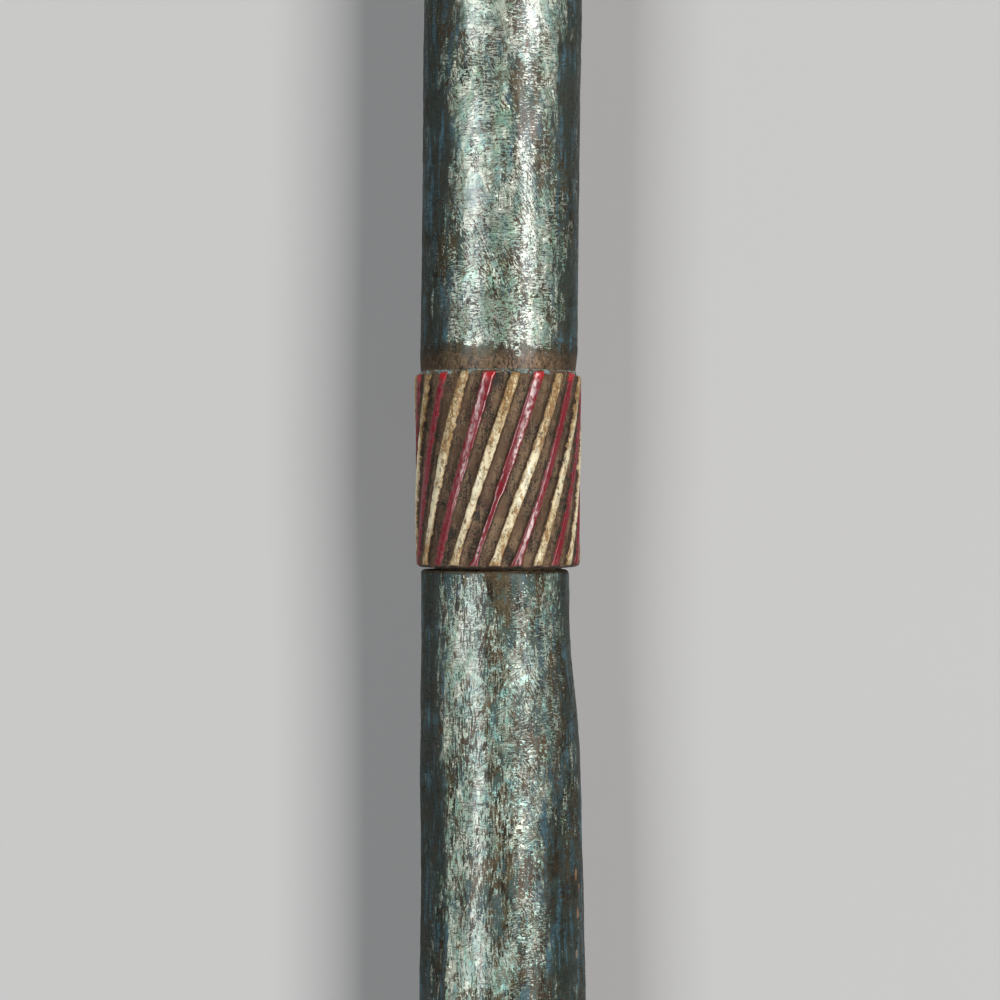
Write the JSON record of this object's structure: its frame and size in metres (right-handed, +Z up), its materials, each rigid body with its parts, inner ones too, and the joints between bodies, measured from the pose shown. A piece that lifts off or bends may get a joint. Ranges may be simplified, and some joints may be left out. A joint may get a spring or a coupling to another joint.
{
  "type": "linguist staff",
  "caption": "Long painted wooden ceremonial staff lying down: interlocking shaft sections, a collar carved with leaning cream and red ridges at each joint, and a plain egg-shaped knop.",
  "frame": {"origin": "on the ground under the middle of the staff's bounding box, as it lies", "axes": "+Y along the staff from the foot towards the knop, +Z up, +X to the right of someone who looks down on it with the knop away from them"},
  "size_m": [0.052, 1.5943, 0.0515],
  "materials": {
    "painted_wood": "worn turquoise enamel over brown wood, rubbed to a satin gloss; the collars' ridges are cream and glossy red, turn about, with bare brown grooves"
  },
  "bodies": {
    "root": {"lower_section": "painted_wood", "upper_section": "painted_wood", "finial": "painted_wood"}
  },
  "joints": []
}
